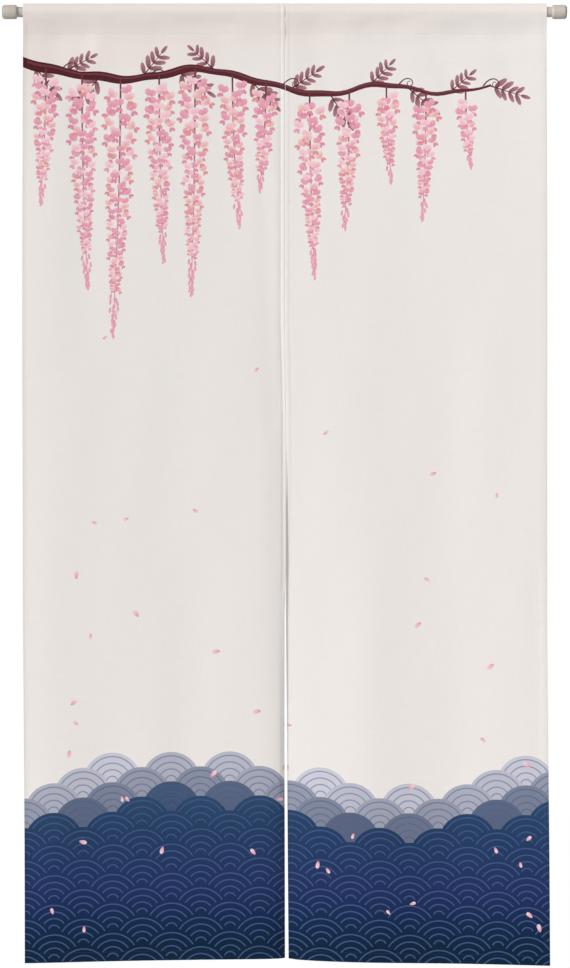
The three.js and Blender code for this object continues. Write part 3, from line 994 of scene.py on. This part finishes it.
# a round piece about the rod's axis from (radius, x) points: a closed loop, or both ends on the axis
def turnedPiece(name, profile, count, material, closed):
    rings = []
    points = []
    for radius, x in profile:
        if radius == 0:
            rings.append([len(points)] * count)
            points.append((x * mm, 0, 0))
        else:
            rings.append(list(range(len(points), len(points) + count)))
            for k in range(count):
                turn = 2 * math.pi * k / count
                points.append((x * mm, radius * math.sin(turn) * mm, radius * math.cos(turn) * mm))
    pairs = list(zip(rings, rings[1:])) + ([(rings[-1], rings[0])] if closed else [])
    faces = []
    for one, two in pairs:
        for k in range(count):
            after = (k + 1) % count
            faces.append(list(dict.fromkeys((one[k], two[k], two[after], one[after]))))
    mesh = bpy.data.meshes.new(name)
    mesh.from_pydata(points, [], faces)
    mesh.materials.append(material)
    mesh.shade_smooth()
    mesh.set_sharp_from_angle(angle=math.radians(sharpOver))
    return addPiece(name, mesh)


# satin polypropylene from a spark-finished mould: warm grey-white, soft wide highlight, fine grain,
# and painted shade on the end's rim, which is darkened to stand in for the shade at the end
def mouldedPlastic():
    material, tree, surface = newMaterial("satinPolypropylene")
    place = addNode(tree, "ShaderNodeTexCoord").outputs["Object"]
    cloud = addNode(tree, "ShaderNodeTexNoise",
                    {"Vector": place, "Scale": 1 / (cap["cloud"] * mm), "Detail": 4.0})
    tone = addNode(tree, "ShaderNodeValToRGB", {"Fac": cloud.outputs[0]})
    tone.color_ramp.elements[0].color = rgba("#C1B8AF")
    tone.color_ramp.elements[1].color = rgba("#CCC3BA")
    ends = addNode(tree, "ShaderNodeSeparateXYZ", {0: place}).outputs["X"]
    length = addNode(tree, "ShaderNodeMath", {0: ends}, operation="ABSOLUTE").outputs[0]
    # painted shade: the end's rim is darkened, standing in for the shade that falls there
    paintedRimShade = addNode(tree, "ShaderNodeMapRange", {
        "Value": length, "To Max": cap["rimShade"],
        "From Min": cap["rimShadeFrom"] * mm, "From Max": cap["rimShadeFull"] * mm,
    })
    rimShaded = addNode(tree, "ShaderNodeMix", {0: paintedRimShade.outputs[0], 6: tone.outputs[0], 7: rgba("#807971")},
                   data_type="RGBA")
    polish = addNode(tree, "ShaderNodeMapRange",
                     {"Value": cloud.outputs[0], "To Min": 0.38, "To Max": 0.52})
    grain = addNode(tree, "ShaderNodeTexNoise",
                    {"Vector": place, "Scale": 1 / (cap["grit"] * mm), "Detail": 2.0})
    bump = addNode(tree, "ShaderNodeBump",
                   {"Height": grain.outputs[0], "Strength": 0.15, "Distance": 0.05 * mm})
    feed(tree, surface, {
        "Base Color": rimShaded.outputs[2], "Roughness": polish.outputs[0], "Normal": bump.outputs[0], "IOR": 1.49,
    })
    return material


# steel tube with sprayed off-white enamel: smooth, half gloss, slight orange peel
def paintedTube():
    material, tree, surface = newMaterial("enamelledSteel")
    place = addNode(tree, "ShaderNodeTexCoord").outputs["Object"]
    peel = addNode(tree, "ShaderNodeTexNoise",
                   {"Vector": place, "Scale": 1 / (rod["peel"] * mm), "Detail": 1.0})
    tone = addNode(tree, "ShaderNodeValToRGB", {"Fac": peel.outputs[0]})
    tone.color_ramp.elements[0].color = rgba("#C1BAB2")
    tone.color_ramp.elements[1].color = rgba("#CAC3BB")
    bump = addNode(tree, "ShaderNodeBump",
                   {"Height": peel.outputs[0], "Strength": 0.1, "Distance": 0.05 * mm})
    feed(tree, surface, {
        "Base Color": tone.outputs[0], "Roughness": 0.34, "Normal": bump.outputs[0], "IOR": 1.5,
    })
    return material


def capProfile(side):
    bore = rod["radius"] + cap["gap"]
    floorX = rod["half"] + cap["gap"]
    rows = [(0, floorX), (bore, floorX), (bore, cap["inner"])]
    for turn in np.linspace(-math.pi / 2, 0, cap["mouthPoints"]):
        rows.append((cap["radius"] + cap["mouthRound"] * (math.cos(turn) - 1),
                     cap["inner"] + cap["mouthReach"] * (math.sin(turn) + 1)))
    for turn in np.linspace(0, math.pi / 2, cap["endPoints"]):
        rows.append((cap["radius"] + cap["endRound"] * (math.cos(turn) - 1),
                     cap["outer"] + cap["endRound"] * (math.sin(turn) - 1)))
    rows.append((0, cap["outer"]))
    return rows if side > 0 else [(r, -x) for r, x in reversed(rows)]


bore = rod["radius"] - rod["wall"]
tubeLoop = [
    (bore, -rod["half"]), (rod["radius"], -rod["half"]),
    (rod["radius"], rod["half"]), (bore, rod["half"]),
]
tube = turnedPiece("rodTube", tubeLoop, rod["sides"], paintedTube(), True)
capMaterial = mouldedPlastic()
caps = []
for name, side in (("endCapLeft", -1), ("endCapRight", 1)):
    caps.append(turnedPiece(name, capProfile(side), cap["sides"], capMaterial, False))
print("rod and caps turned")

for panel, piece, sewn in zip((leftPanel, rightPanel), panels, stitches):
    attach(piece, "root")
    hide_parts(panel["node"])
    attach(sewn, "root")
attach(joinThreads, "root")
for piece, node, slot in ((tube, "rod", "tube"), (caps[0], "cap_left", "cap"), (caps[1], "cap_right", "cap")):
    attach(piece, "root")
    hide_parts(node)

view = {"distance": 5.0, "frameHeight": 1.5101, "centreX": 0.0006, "centreZ": -0.7363}
camera = addPiece("camera", bpy.data.cameras.new("camera"))
camera.location = (view["centreX"], -view["distance"], view["centreZ"])
camera.rotation_euler = (math.pi / 2, 0, 0)
camera.data.sensor_width = 36
camera.data.lens = camera.data.sensor_width * view["distance"] / view["frameHeight"]
camera.data.clip_end = 50
scene.camera = camera

# soft key light from the left, a weak panel at the right, one behind, and white walls brighter in front
lights = table(
    "name kind from to energy soft",
    ("keyLight", "SUN", (-3.0, -1.75, 0.8), (0, 0, 0), 3.0, {"angle": math.radians(16)}),
    ("behindLight", "SUN", (0.6, 3.0, 0.5), (0, 0, 0), 2.0, {"angle": math.radians(35)}),
    ("fillLight", "AREA", (1.3, -1.0, 0.5), (0.2, 0, -0.6), 3.3, {"size": 0.6}),
)
for row in lights:
    lamp = addPiece(row["name"], bpy.data.lights.new(row["name"], row["kind"]))
    lamp.location = row["from"]
    lamp.rotation_euler = (Vector(row["from"]) - Vector(row["to"])).to_track_quat("Z", "Y").to_euler()
    lamp.data.energy = row["energy"]
    for name, value in row["soft"].items():
        setattr(lamp.data, name, value)

walls = {"front": 0.492, "back": 0.22, "below": 0.3}
world = bpy.data.worlds.new("whiteStudio")
world.use_nodes = True
scene.world = world
sky = world.node_tree
way = addNode(sky, "ShaderNodeTexCoord").outputs["Generated"]
turned = addNode(sky, "ShaderNodeSeparateXYZ", {0: way}).outputs
wall = addNode(sky, "ShaderNodeMapRange",
               {"Value": turned["Y"], "From Min": -1.0, "To Min": walls["front"], "To Max": walls["back"]})
low = addNode(sky, "ShaderNodeMapRange",
              {"Value": turned["Z"], "From Min": -1.0, "From Max": 0.0, "To Min": walls["below"]})
soft = addNode(sky, "ShaderNodeMath", {0: wall.outputs[0], 1: low.outputs[0]}, operation="MULTIPLY")
seen = addNode(sky, "ShaderNodeLightPath").outputs["Is Camera Ray"]
level = addNode(sky, "ShaderNodeMix", {0: seen, 2: soft.outputs[0], 3: 1.0})
feed(sky, sky.nodes["Background"], {"Color": (1, 1, 1, 1), "Strength": level.outputs[0]})

floorPlan = {"left": -2.6, "right": 2.6, "front": -2.4, "back": 2.6, "height": -2.04}
floorMesh = bpy.data.meshes.new("paleFloor")
corners = (("left", "front"), ("right", "front"), ("right", "back"), ("left", "back"))
floorMesh.from_pydata([(floorPlan[x], floorPlan[y], floorPlan["height"]) for x, y in corners],
                      [], [(0, 1, 2, 3)])
paint, tree, surface = newMaterial("palePaint")
feed(tree, surface, {"Base Color": rgba("#E8E6E3"), "Roughness": 0.8})
floorMesh.materials.append(paint)
addPiece("paleFloor", floorMesh)

scene.view_settings.view_transform = "Standard"
print("camera, light and floor set")
